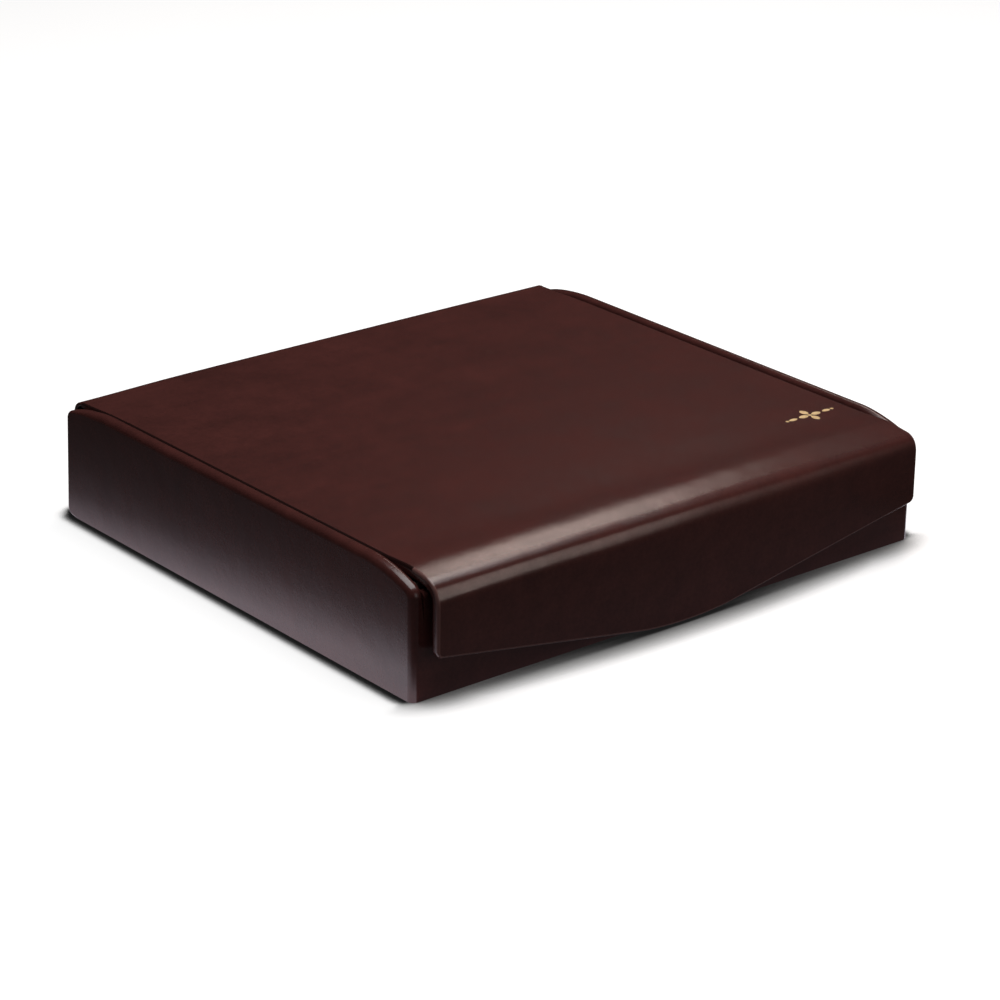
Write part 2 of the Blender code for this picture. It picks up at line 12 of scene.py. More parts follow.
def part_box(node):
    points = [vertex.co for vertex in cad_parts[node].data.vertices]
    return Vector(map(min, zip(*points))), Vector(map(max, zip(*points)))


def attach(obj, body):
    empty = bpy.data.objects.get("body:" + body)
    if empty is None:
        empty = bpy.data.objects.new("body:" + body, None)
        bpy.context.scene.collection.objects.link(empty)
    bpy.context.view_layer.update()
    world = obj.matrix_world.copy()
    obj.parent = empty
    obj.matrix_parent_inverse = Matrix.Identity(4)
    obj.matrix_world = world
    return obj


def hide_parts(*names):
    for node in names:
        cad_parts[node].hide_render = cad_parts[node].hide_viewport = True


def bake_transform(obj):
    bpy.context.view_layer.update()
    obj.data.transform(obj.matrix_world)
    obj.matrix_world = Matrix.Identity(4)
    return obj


bl_info = {
    "name": "Leather accessory box",
    "version": (1, 0, 0),
    "blender": (4, 5, 0),
    "location": "View3D > Sidebar > Accessory box",
    "description": "Leather, suede, cushions and studio for a box with a wrap-over lid",
    "category": "Object",
}

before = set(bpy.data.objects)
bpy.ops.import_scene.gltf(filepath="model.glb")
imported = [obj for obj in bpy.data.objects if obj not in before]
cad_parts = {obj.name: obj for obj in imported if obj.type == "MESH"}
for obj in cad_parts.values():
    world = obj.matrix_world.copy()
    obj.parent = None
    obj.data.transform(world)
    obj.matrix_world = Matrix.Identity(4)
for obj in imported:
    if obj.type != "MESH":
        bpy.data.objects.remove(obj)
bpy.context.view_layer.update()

# Places read from the frame
CHEEK_LOW, CHEEK_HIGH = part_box("left_cheek_leather")
WALL_LOW, WALL_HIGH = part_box("front_wall_leather")
BACK_LOW, BACK_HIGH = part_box("back_wall_leather")
LID_LOW, LID_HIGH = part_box("lid_leather")
BEND_LOW, BEND_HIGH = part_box("bend_leather")
HINGE_LOW, HINGE_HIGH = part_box("hinge_leather")
SPINE_LOW, SPINE_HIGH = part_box("spine_leather")
LINING_LOW, LINING_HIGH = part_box("lid_lining")

HALF_WIDTH = -CHEEK_LOW.x
CHEEK_THICKNESS = CHEEK_HIGH.x - CHEEK_LOW.x
STRIP_HALF = LID_HIGH.x
STRIP_TOP = LID_HIGH.z
STRIP_THICKNESS = LID_HIGH.z - LID_LOW.z
SKIN_THICKNESS = SPINE_HIGH.y - SPINE_LOW.y
LINING_THICKNESS = LINING_HIGH.z - LINING_LOW.z
LINING_INSET = LID_HIGH.x - LINING_HIGH.x

# Mesh making
TINY = 1e-5  # places that lie this close count as one
MERGE_NEW = 1e-6  # points of a new shape that lie this close are merged
MERGE_ROUNDED = 2e-5  # the same, once its edges are rounded
SHARP_ANGLE = math.radians(40)  # edges that turn further are shaded sharp
CORNER_ANGLE = math.radians(50)  # edges that turn further are a section's corners
ROUNDING_STEPS = 6

# What the colours and the shares below have in common
COLOUR = {"subtype": "COLOR", "min": 0, "max": 1}
SHARE = {"subtype": "FACTOR", "min": 0, "max": 1}


class LeatherSizes(PropertyGroup):
    """Roundings of the leather work, and its colours."""

    rim_radius: FloatProperty(
        name="Rim radius", description="Rounding of the cheeks' outer rims",
        default=0.0029, unit="LENGTH",
    )
    inner_share: FloatProperty(
        name="Inner rim rounding", description="Rounding of the rims' inner edges, as a share",
        default=0.68, **SHARE,
    )
    back_share: FloatProperty(
        name="Back rounding", description="Rounding of the upright back edges, as a share",
        default=0.35, **SHARE,
    )
    strip_thickness: FloatProperty(
        name="Strip thickness", description="Thickness of the strip's leather and board",
        default=0.0031, unit="LENGTH",
    )
    strip_edge: FloatProperty(
        name="Strip edge", description="Rounding of the lid strip's outer edges",
        default=0.0010, unit="LENGTH",
    )
    ease_radius: FloatProperty(
        name="Easing radius", description="Radius of the curve that leads into the bend",
        default=0.0600, unit="LENGTH",
    )
    ease_angle: FloatProperty(
        name="Easing angle", description="Turn of the curve that leads into the bend",
        default=math.radians(11), unit="ROTATION",
    )
    bend_radius: FloatProperty(
        name="Bend radius", description="Outer radius of the bend at its tightest",
        default=0.0084, unit="LENGTH",
    )
    crown: FloatProperty(
        name="Crown", description="How far the lid swells up before the bend",
        default=0.0005, unit="LENGTH",
    )
    corner_sag: FloatProperty(
        name="Corner sag", description="How far the lid's back corners are drawn down",
        default=0.0012, unit="LENGTH",
    )
    hinge_radius: FloatProperty(
        name="Hinge radius", description="Outer radius of the leather over the back edge",
        default=0.0055, unit="LENGTH",
    )
    flap_corner_radius: FloatProperty(
        name="Flap corner radius", description="Rounding of the flap's two lower corners",
        default=0.0022, unit="LENGTH",
    )
    flap_point_run: FloatProperty(
        name="Flap point run", description="Reach of the flap's rounded point each way",
        default=0.0225, unit="LENGTH",
    )
    flap_corner_height: FloatProperty(
        name="Flap corner height", description="Height of the flap's lower corners",
        default=0.0184, unit="LENGTH",
    )
    flap_tilt: FloatProperty(
        name="Flap tilt", description="How much steeper the flap's right lower edge is",
        default=0.028, subtype="FACTOR",
    )
    flap_point_depth: FloatProperty(
        name="Flap point depth", description="How far below its corners the flap's edges meet",
        default=0.0196, unit="LENGTH",
    )
    dark: FloatVectorProperty(
        name="Dark leather", description="Darker tone of the leather",
        default=(0.037, 0.0108, 0.0094), **COLOUR,
    )
    light: FloatVectorProperty(
        name="Light leather", description="Lighter tone of the leather",
        default=(0.069, 0.0206, 0.0178), **COLOUR,
    )
    # Painted shade of the gap between the lid's sides and the cheeks.
    gap_shade: FloatVectorProperty(
        name="Painted gap shade", description="Shade painted along the lid's side edges, at the gap to the cheeks",
        default=(0.012, 0.004, 0.0035), **COLOUR,
    )
    # A lighter tone of the strip's rubbed edges, which also serves as their painted highlight.
    rubbed_highlight: FloatVectorProperty(
        name="Rubbed edge and painted highlight", description="Lighter tone of the strip's rubbed edges, also their painted highlight",
        default=(0.120, 0.056, 0.050), **COLOUR,
    )
    roughness: FloatProperty(
        name="Roughness", description="Middle roughness of the waxed leather",
        default=0.21, **SHARE,
    )


class InsideSizes(PropertyGroup):
    """Roundings and colours of what is inside the box."""

    soft_edge: FloatProperty(
        name="Soft edge", description="Rounding of the linings' edges",
        default=0.0004, unit="LENGTH",
    )
    divider_round: FloatProperty(
        name="Divider rounding", description="Rounding of the dividers' tops",
        default=0.0013, unit="LENGTH",
    )
    suede_dark: FloatVectorProperty(
        name="Dark suede", description="Darker tone of the suede",
        default=(0.072, 0.040, 0.029), **COLOUR,
    )
    suede_light: FloatVectorProperty(
        name="Light suede", description="Lighter tone of the suede",
        default=(0.125, 0.073, 0.052), **COLOUR,
    )
    cushion_rings: IntProperty(
        name="Cushion fineness", description="Divisions along a cushion's long side",
        default=56, min=8, max=120,
    )


class StudioSizes(PropertyGroup):
    """Camera, lamps and floor."""

    azimuth: FloatProperty(
        name="Azimuth", description="Camera's turn about the box",
        default=math.radians(-39.499), unit="ROTATION",
    )
    elevation: FloatProperty(
        name="Elevation", description="Camera's height angle",
        default=math.radians(22.160), unit="ROTATION",
    )
    roll: FloatProperty(
        name="Roll", description="Camera's roll", default=math.radians(0.741), unit="ROTATION",
    )
    distance: FloatProperty(
        name="Distance", description="Camera's distance", default=1.3261, unit="LENGTH",
    )
    shift_right: FloatProperty(
        name="Shift right", description="Camera's sideways offset", default=0.005439, unit="LENGTH",
    )
    shift_up: FloatProperty(
        name="Shift up", description="Camera's upward offset", default=0.009808, unit="LENGTH",
    )
    focal_length: FloatProperty(
        name="Focal length", description="Lens in millimetres on a 36 mm sensor", default=124.36,
    )
    glow: FloatProperty(
        name="Floor glow", description="Light from the floor beside the box",
        default=1.5, min=0,
    )
    ambient: FloatProperty(name="Ambient", description="Light from all round", default=0.01, min=0)
    floor_size: FloatProperty(
        name="Floor size", description="Side of the floor", default=8.0, unit="LENGTH",
    )


def leather_sizes():
    return bpy.context.scene.leather_sizes


def inside_sizes():
    return bpy.context.scene.inside_sizes


def studio_sizes():
    return bpy.context.scene.studio_sizes


# Nodes and materials

EDGE_LIGHT_SHADE_LAYER = "edge_wear"  # the faces' attribute that says where the strip's edges get a lighter rubbed tone with painted highlight, and where painted shade
RUBBED_HIGHLIT, GAP_SHADED = 1.0, -1.0  # its values: a lighter rubbed tone and painted highlight along the bend and flap, painted shade along the lid
ROUGHNESS_PLAY = 0.05  # how far the leather's roughness strays from its middle
BASE_CLOTH_TONE = 0.62  # colour of the cloth under the base, as a share of the suede's


def set_inputs(tree, node, inputs):
    """Sets or links a node's inputs, given as (socket, value or output) pairs."""
    for name, value in inputs:
        if isinstance(value, bpy.types.NodeSocket):
            tree.links.new(value, node.inputs[name])
        else:
            node.inputs[name].default_value = value


def add_node(tree, kind, inputs=(), **settings):
    """A shader node with its inputs and settings."""
    made = tree.nodes.new(kind)
    for name, value in settings.items():
        setattr(made, name, value)
    set_inputs(tree, made, inputs)
    return made


def noise_value(tree, coords, scale, detail, roughness, stretch=None):
    """A noise over the object's own coordinates, which may be stretched along an axis."""
    if stretch:
        coords = add_node(
            tree, "ShaderNodeMapping", [("Vector", coords), ("Scale", stretch)]
        ).outputs["Vector"]
    made = add_node(tree, "ShaderNodeTexNoise", [
        ("Vector", coords), ("Scale", scale), ("Detail", detail), ("Roughness", roughness),
    ])
    return made.outputs["Fac"]


def combined(tree, operation, first, second, third=None):
    """The outcome of a sum on two or three values."""
    values = [(0, first), (1, second)]
    if third is not None:
        values.append((2, third))
    return add_node(tree, "ShaderNodeMath", values, operation=operation).outputs["Value"]


def weighted_sum(tree, parts):
    """The sum of values times their weights."""
    total = None
    for value, weight in parts:
        scaled = combined(tree, "MULTIPLY", value, weight)
        total = scaled if total is None else combined(tree, "ADD", total, scaled)
    return total


def map_range(tree, value, low, high, new_low, new_high):
    """A value carried from one range to another."""
    return add_node(tree, "ShaderNodeMapRange", [
        ("Value", value), ("From Min", low), ("From Max", high),
        ("To Min", new_low), ("To Max", new_high),
    ]).outputs["Result"]


def mixed_colour(tree, share, first, second, **settings):
    """Two colours, mixed by the second one's share."""
    return add_node(tree, "ShaderNodeMixRGB", [
        ("Fac", share), ("Color1", first), ("Color2", second),
    ], **settings).outputs["Color"]


def ramp(tree, value, stops):
    """A colour ramp through (place, colour) stops."""
    made = add_node(tree, "ShaderNodeValToRGB", [("Fac", value)])
    elements = made.color_ramp.elements
    while len(elements) < len(stops):
        elements.new(0.5)
    for element, (place, colour) in zip(elements, stops):
        element.position = place
        element.color = (*colour, 1.0)
    return made.outputs["Color"]


def grey_ramp(tree, value, stops):
    """A ramp of greys through (place, tone) stops."""
    return ramp(tree, value, [(place, (tone, tone, tone)) for place, tone in stops])


def bump(tree, height, distance, strength, under=None):
    """A normal raised by a height in metres, over the one under it."""
    inputs = [("Height", height), ("Distance", distance), ("Strength", strength)]
    if under is not None:
        inputs.append(("Normal", under))
    return add_node(tree, "ShaderNodeBump", inputs).outputs["Normal"]


def start_material(name, colour):
    """A new material, with its tree, its shader and the object's own coordinates."""
    made = bpy.data.materials.new(name)
    made.use_nodes = True
    made.diffuse_color = (*colour, 1.0)
    tree = made.node_tree
    shader = tree.nodes["Principled BSDF"]
    coords = add_node(tree, "ShaderNodeTexCoord").outputs["Object"]
    return made, tree, shader, coords


def leather_material():
    """Waxed smooth leather: clouded colour, faint streaks, fine pores and a soft polish; along the
    strip's edges a lighter rubbed tone with painted highlight in front, painted shade along the
    lid.
    """
    sizes = leather_sizes()
    made, tree, shader, coords = start_material("waxed_leather", sizes.light)
    clouds = noise_value(tree, coords, 34.0, 5.0, 0.55)
    blotches = noise_value(tree, coords, 120.0, 4.0, 0.6)
    streaks = noise_value(tree, coords, 1.0, 5.0, 0.6, (14.0, 110.0, 110.0))
    specks = noise_value(tree, coords, 700.0, 3.0, 0.6)
    tone = weighted_sum(tree, [(clouds, 0.30), (blotches, 0.28), (streaks, 0.20), (specks, 0.22)])
    colour = ramp(tree, tone, [(0.36, sizes.dark), (0.64, sizes.light)])
    # The strip's edges: a lighter rubbed tone that also paints their highlight, and a painted shade
    # where the lid's sides meet the cheeks.
    edge_light_shade = add_node(tree, "ShaderNodeAttribute", attribute_name=EDGE_LIGHT_SHADE_LAYER).outputs["Fac"]
    rubbed_highlight = mixed_colour(tree, edge_light_shade, colour, (*sizes.rubbed_highlight, 1.0))
    gap_shaded = combined(tree, "MULTIPLY", edge_light_shade, GAP_SHADED)
    edged = mixed_colour(tree, gap_shaded, rubbed_highlight, (*sizes.gap_shade, 1.0), use_clamp=True)
    duller, glossier = sizes.roughness + ROUGHNESS_PLAY, sizes.roughness - ROUGHNESS_PLAY
    rough = map_range(tree, tone, 0.35, 0.65, duller, glossier)
    swell = noise_value(tree, coords, 55.0, 3.0, 0.5)
    drawn = noise_value(tree, coords, 1.0, 4.0, 0.55, (40.0, 320.0, 320.0))
    grain = add_node(tree, "ShaderNodeTexVoronoi", [
        ("Vector", coords), ("Scale", 1300.0), ("Smoothness", 0.6),
    ], feature="SMOOTH_F1").outputs["Distance"]
    pores = noise_value(tree, coords, 2600.0, 2.0, 0.5)
    normal = bump(tree, swell, 0.0005, 0.4)
    normal = bump(tree, drawn, 0.00005, 0.25, normal)
    normal = bump(tree, grain, 0.00005, 0.3, normal)
    normal = bump(tree, pores, 0.00004, 0.5, normal)
    set_inputs(tree, shader, [
        ("Base Color", edged), ("Roughness", rough), ("IOR", 1.5), ("Normal", normal),
    ])
    return made


def suede_material(name, dark, light):
    """Short-napped suede: soft patches where the nap lies another way, and a fine fibre."""
    made, tree, shader, coords = start_material(name, light)
    patches = noise_value(tree, coords, 60.0, 3.0, 0.5)
    brushed = noise_value(tree, coords, 1.0, 4.0, 0.6, (420.0, 160.0, 420.0))
    fibres = noise_value(tree, coords, 3200.0, 2.0, 0.6)
    tone = weighted_sum(tree, [(patches, 0.45), (brushed, 0.25), (fibres, 0.30)])
    colour = ramp(tree, tone, [(0.34, dark), (0.66, light)])
    normal = bump(tree, fibres, 0.00012, 0.6)
    normal = bump(tree, patches, 0.0004, 0.3, normal)
    set_inputs(tree, shader, [
        ("Base Color", colour), ("Roughness", 0.92), ("Specular IOR Level", 0.2),
        ("Sheen Weight", 0.45), ("Sheen Roughness", 0.5), ("Normal", normal),
    ])
    return made


def board_material():
    """Dense grey board with pressed fibres."""
    made, tree, shader, coords = start_material("pressed_board", (0.33, 0.31, 0.28))
    fibres = noise_value(tree, coords, 1.0, 5.0, 0.6, (500.0, 900.0, 2500.0))
    colour = ramp(tree, fibres, [(0.3, (0.25, 0.235, 0.21)), (0.7, (0.40, 0.38, 0.345))])
    set_inputs(tree, shader, [
        ("Base Color", colour), ("Roughness", 0.9), ("Normal", bump(tree, fibres, 0.0001, 0.5)),
    ])
    return made


def gilt_material():
    """Thin gold foil pressed into leather."""
    made, tree, shader, coords = start_material("gold_foil", (0.80, 0.60, 0.32))
    marks = noise_value(tree, coords, 900.0, 4.0, 0.6)
    colour = ramp(tree, marks, [(0.3, (0.62, 0.44, 0.21)), (0.7, (0.88, 0.68, 0.38))])
    set_inputs(tree, shader, [
        ("Base Color", colour), ("Metallic", 0.55), ("Roughness", 0.42),
        ("Normal", bump(tree, marks, 0.00005, 0.4)),
    ])
    return made


def material(name):
    """The material of that name, made the first time that it is asked for."""
    found = bpy.data.materials.get(name)
    if found:
        return found
    dark, light = inside_sizes().suede_dark, inside_sizes().suede_light
    makers = {
        "waxed_leather": leather_material,
        "lining_suede": lambda: suede_material("lining_suede", dark, light),
        "base_cloth": lambda: suede_material(
            "base_cloth", [BASE_CLOTH_TONE * c for c in dark], [BASE_CLOTH_TONE * c for c in light]
        ),
        "pressed_board": board_material,
        "gold_foil": gilt_material,
    }
    return makers[name]()


# Shapes

def clamped(value):
    """The value, kept between 0 and 1."""
    return min(1.0, max(0.0, value))


def every(bm):
    """All that a mesh consists of."""
    return bm.verts[:] + bm.edges[:] + bm.faces[:]


def flat_face(bm, points):
    """One face through the given points."""
    return bm.faces.new([bm.verts.new(point) for point in points])


def extruded(bm, face):
    """Extrudes a face in place, and returns the new face; the first one stays as the end cap."""
    inner = any(len(edge.link_faces) > 1 for edge in face.edges)
    made = bmesh.ops.extrude_face_region(bm, geom=[face])["geom"]
    if inner:
        bmesh.ops.delete(bm, geom=[face], context="FACES_ONLY")
    return next(item for item in made if isinstance(item, bmesh.types.BMFace))


def pushed(bm, face, way):
    """Extrudes a face along a vector, and returns the new face."""
    face = extruded(bm, face)
    bmesh.ops.translate(bm, verts=face.verts[:], vec=way)
    return face


def turned(bm, face, centre, angle, steps):
    """Extrudes a face round an axis along X through a point."""
    turn = Matrix.Rotation(angle / steps, 3, "X")
    for _ in range(steps):
        face = extruded(bm, face)
        bmesh.ops.rotate(bm, verts=face.verts[:], cent=centre, matrix=turn)
    return face


def bevelled(bm, edges, radius, segments, affect="EDGES"):
    """Rounds edges or corners, and returns the new faces."""
    return bmesh.ops.bevel(
        bm, geom=edges, offset=radius, segments=segments, profile=0.5,
        affect=affect, material=-1, clamp_overlap=True,
    )["faces"]


def rounded_corner(bm, spot, radius, segments):
    """Rounds the corner of a flat outline that lies nearest to a spot."""
    corner = min(bm.verts, key=lambda v: (v.co - spot).length)
    bevelled(bm, [corner], radius, segments, "VERTICES")


def cut(bm, spot, outward, clear=False):
    """Cuts through a mesh along a plane, and returns what lies on the cut."""
    return bmesh.ops.bisect_plane(
        bm, geom=every(bm), plane_co=spot, plane_no=outward, clear_outer=clear
    )["geom_cut"]


def sliced(bm, spot, outward):
    """Cuts off what lies beyond a plane, and closes the cut."""
    rim = cut(bm, spot, outward, clear=True)
    edges = [item for item in rim if isinstance(item, bmesh.types.BMEdge)]
    bmesh.ops.contextual_create(bm, geom=edges)


def block(low, high):
    """A box between two corners."""
    bm = bmesh.new()
    bmesh.ops.create_cube(bm, size=1)
    bmesh.ops.scale(bm, verts=bm.verts, vec=high - low)
    bmesh.ops.translate(bm, verts=bm.verts, vec=(low + high) / 2)
    return bm


def linked(name, data):
    """A new object in the scene."""
    made = bpy.data.objects.new(name, data)
    bpy.context.scene.collection.objects.link(made)
    return made


def shade(mesh):
    """Smooth shading, apart from the edges that turn sharply."""
    mesh.shade_smooth()
    mesh.set_sharp_from_angle(angle=SHARP_ANGLE)


def round_off(made, radius):
    """Rounds an object's weighted edges for good, and merges the points that this crowds."""
    modifier = made.modifiers.new("rounding", "BEVEL")
    modifier.limit_method = "WEIGHT"
    modifier.width = radius
    modifier.segments = ROUNDING_STEPS
    modifier.use_clamp_overlap = False
    finished = made.evaluated_get(bpy.context.evaluated_depsgraph_get())
    shape = bpy.data.meshes.new_from_object(finished)
    bm = bmesh.new()
    bm.from_mesh(shape)
    bmesh.ops.remove_doubles(bm, verts=bm.verts, dist=MERGE_ROUNDED)
    bm.to_mesh(shape)
    bm.free()
    made.modifiers.clear()
    made.data = shape
    shape.name = made.name
    shade(shape)


def piece(name, bm, finish, body=None, blend=None, replaces=(), rounded=0.0, even=True):
    """Makes the object, gives it its material, and ties it to the frame."""
    bmesh.ops.remove_doubles(bm, verts=bm.verts, dist=MERGE_NEW)
    bmesh.ops.recalc_face_normals(bm, faces=bm.faces)
    if bm.calc_volume(signed=True) < 0:
        bmesh.ops.reverse_faces(bm, faces=bm.faces)
    mesh = bpy.data.meshes.new(name)
    bm.to_mesh(mesh)
    bm.free()
    mesh.materials.append(material(finish))
    shade(mesh)
    made = linked(name, mesh)
    if rounded:
        round_off(made, rounded)
    if even:
        modifier = made.modifiers.new("even_normals", "WEIGHTED_NORMAL")
        modifier.keep_sharp = True
    if blend:
        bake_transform(made)
    else:
        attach(made, body)
    if replaces:
        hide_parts(*replaces)
    return made


def weigh(bm, rule):
    """Gives each edge the rounding share that a rule returns for it."""
    layer = bm.edges.layers.float.new("bevel_weight_edge")
    for edge in bm.edges:
        edge[layer] = rule(edge)


def middle_of(edge):
    """The place halfway along an edge."""
    return (edge.verts[0].co + edge.verts[1].co) / 2


def run_of(edge):
    """The way from an edge's one end to its other."""
    return edge.verts[1].co - edge.verts[0].co


# Cheeks: the raised side walls

CHEEK_FRONT_FALL = 0.0060  # how far the rim falls at the front, and over what run
CHEEK_FRONT_RUN = 0.0145
CHEEK_BACK_FALL = 0.0056
CHEEK_BACK_RUN = 0.0175
TAIL_SHARE = 0.85  # the share of the back fall above the corner at the tail
TAIL_LEAN = 0.0019  # how far the tail stands in front of the heel
CHEEK_FRONT_CURVE = 0.0120  # roundings of the outline's corners
CHEEK_BACK_CURVE = 0.0118
NOSE_CURVE = 0.0031
TAIL_CURVE = 0.0024
HEEL_CURVE = 0.0034
TAIL_Y = CHEEK_HIGH.y - TAIL_LEAN
TAIL_CUTS = 5  # cuts at the back, between which the rim's rounding changes
TAIL_CUT_START = 0.0030
TAIL_CUT_STEP = 0.0036
CHANGE_START = 0.0220  # how far in front of the tail the rounding starts to change, and its run
CHANGE_RUN = 0.0190
RIM_SHARE = 0.8  # the rim is what lies above this share of a cheek's height
TALL_CUT = 0.02  # cuts this tall, up the wall's two sides, are taken out again
FLAT_ANGLE = 1e-4
CROSS_WALL_SHARE = 0.8  # rounding of the front and back wall's top, as a share of the cheeks'
FOLD_ROOM = 0.0018  # kept above the front wall for the bend, which comes down as it folds


def wall_piece(name, bm, replaced):
    """A leather wall of the tray, with its weighted edges rounded."""
    piece(
        name, bm, "waxed_leather", body="tray", replaces=replaced,
        rounded=leather_sizes().rim_radius,
    )


def cheek_bmesh(side):
    """A cheek: its side outline with rounded corners, as thick as the wall."""
    low, high = CHEEK_LOW, CHEEK_HIGH
    outer = side * HALF_WIDTH
    top = high.z
    spots = [
        ((low.y, 0.0), 0, 0),
        ((high.y, 0.0), HEEL_CURVE, 5),
        ((TAIL_Y, top - TAIL_SHARE * CHEEK_BACK_FALL), TAIL_CURVE, 6),
        ((high.y - CHEEK_BACK_RUN, top), CHEEK_BACK_CURVE, 10),
        ((low.y + CHEEK_FRONT_RUN, top), CHEEK_FRONT_CURVE, 10),
        ((low.y, top - CHEEK_FRONT_FALL), NOSE_CURVE, 5),
    ]
    bm = bmesh.new()
    flat_face(bm, [(outer, *spot) for spot, _, _ in spots])
    for (y, z), radius, segments in spots:
        if radius:
            rounded_corner(bm, Vector((outer, y, z)), radius, segments)
    pushed(bm, bm.faces[:][0], Vector((-side * CHEEK_THICKNESS, 0, 0)))
    return bm


def build_cheek(side, name):
    """A cheek with its rim rounded, less so inside and towards the back."""
    sizes = leather_sizes()
    outer = side * HALF_WIDTH
    bm = cheek_bmesh(side)
    for k in range(1, TAIL_CUTS + 1):
        place = TAIL_Y - TAIL_CUT_START - TAIL_CUT_STEP * k
        cut(bm, Vector((0, place, 0)), Vector((0, 1, 0)))
    bmesh.ops.dissolve_edges(bm, edges=[
        edge for edge in bm.edges
        if edge.is_manifold and edge.calc_face_angle() < FLAT_ANGLE
        and abs(run_of(edge).z) > TALL_CUT
    ])

    def share(edge):
        middle = middle_of(edge)
        if abs(run_of(edge).x) > CHEEK_THICKNESS / 2:
            return 0.0
        if abs(middle.x - outer) > CHEEK_THICKNESS / 2:
            return 0.0 if middle.z < CHEEK_HIGH.z * RIM_SHARE else sizes.inner_share
        if max(vert.co.z for vert in edge.verts) < TINY:
            return 0.0
        back = clamped((middle.y - (TAIL_Y - CHANGE_START)) / CHANGE_RUN)
        return 1 + (sizes.back_share - 1) * back

    weigh(bm, share)
    wall_piece(name + "_cheek", bm, [name + "_cheek_leather", name + "_cheek_board"])


def build_cross_wall(name, low, high, replaced):
    """The front or back wall, flush with the ends of the cheeks."""
    reach = HALF_WIDTH - CHEEK_THICKNESS
    bm = block(Vector((-reach, low.y, low.z)), Vector((reach, high.y, high.z)))

    def share(edge):
        upper = middle_of(edge).z > (low.z + high.z) / 2
        return CROSS_WALL_SHARE if upper and abs(run_of(edge).x) >= reach else 0.0

    weigh(bm, share)
    wall_piece(name + "_wall", bm, replaced)


# The lid strip: spine, hinge, lid, bend and flap in one width

BEND_BLEND = ("lid", "flap", (0, BEND_HIGH.y, STRIP_TOP), (0, BEND_LOW.y, BEND_LOW.z))
LID_STOPS = (0.004, 0.010, 0.019, 0.032, 0.052)  # cuts across the lid, forwards from the hinge
EASE_STOPS = (0.018, 0.014, 0.010, 0.006, 0.003, 0)  # and towards the gentle curve's start
EASE_STEPS = 6
BEND_STEPS = 20
TRIM_ROOM = 0.01  # how far the strip first runs below the table, for its point to be cut
POINT_ROOM = 0.002  # the trimmed end reaches up to this far above the flap's corners
CROSSWISE = 0.9  # share of its way by which an edge that runs through the strip does so
SAG_MIDDLE, SAG_LEFT, SAG_RIGHT = 0.28, 0.72, 0.2  # shares of the sag along the back edge
SAG_WIDTH = 0.030  # how far a corner's sag reaches sideways, and forwards
SAG_RUN = 0.016
CROWN_START = 0.014  # how far behind the gentle curve the crown starts, and its run
CROWN_RUN = 0.016
FULLNESS, FULLNESS_RIGHT, FULLNESS_END = 0.0003, 0.0003, 0.0004  # of the bend: see bend_fullness
WAVER, WAVER_PACE = 0.0001, 75
EDGE_START = 0.004  # how far in front of the gentle curve's start the edges get the lighter rubbed tone with painted highlight, not painted shade
INNER_EDGE_SHARE = 0.4  # rounding of the strip's inner edges, as a share of the outer
STRIP_CUTS = 24
LINING_CUTS = 12
LINING_CORNER = 0.0013
SPINE_FULLNESS = 1.5  # thickness of the spine's leather, as a share of the solid's
HINGE_STEPS = 12


def hinge_centre():
    """The centre of the leather's turn over the back edge."""
    radius = leather_sizes().hinge_radius
    return Vector((0, HINGE_HIGH.y - radius, HINGE_HIGH.z - radius))


def bend_centres():
    """The centres of the gentle curve and of the tight bend that follows it."""
    sizes = leather_sizes()
    front = BEND_LOW.y
    tight = Vector((0, front + sizes.bend_radius, 0))
    run = (sizes.ease_radius - sizes.bend_radius) * math.sin(sizes.ease_angle)
    drop = (sizes.ease_radius - sizes.bend_radius) * math.cos(sizes.ease_angle)
    gentle = Vector((0, tight.y + run, STRIP_TOP - sizes.ease_radius))
    tight.z = gentle.z + drop
    return gentle, tight


def skin_depth(spot):
    """How far a spot of the strip lies below its outer skin."""
    sizes = leather_sizes()
    gentle, tight = bend_centres()
    if spot.y > gentle.y:
        return STRIP_TOP - spot.z
    if spot.z < tight.z:
        return spot.y - BEND_LOW.y
    if math.atan2(tight.y - spot.y, spot.z - tight.z) > sizes.ease_angle:
        return sizes.bend_radius - math.hypot(spot.y - tight.y, spot.z - tight.z)
    return sizes.ease_radius - math.hypot(spot.y - gentle.y, spot.z - gentle.z)


def strip_bmesh(start_y, inset, outer, inner):
    """Runs a section forwards along the lid, round the bend and down to below the flap's point."""
    sizes = leather_sizes()
    gentle, tight = bend_centres()
    half = STRIP_HALF - inset
    bm = bmesh.new()
    corners = ((-half, inner), (half, inner), (half, outer), (-half, outer))
    face = flat_face(bm, [(x, start_y, z) for x, z in corners])
    stops = [start_y - away for away in LID_STOPS] + [gentle.y + away for away in EASE_STOPS]
    for start, stop in zip([start_y, *stops], stops):
        face = pushed(bm, face, Vector((0, stop - start, 0)))
    face = turned(bm, face, gentle, sizes.ease_angle, EASE_STEPS)
    face = turned(bm, face, tight, math.pi / 2 - sizes.ease_angle, BEND_STEPS)
    pushed(bm, face, Vector((0, 0, -tight.z - TRIM_ROOM)))
    return bm


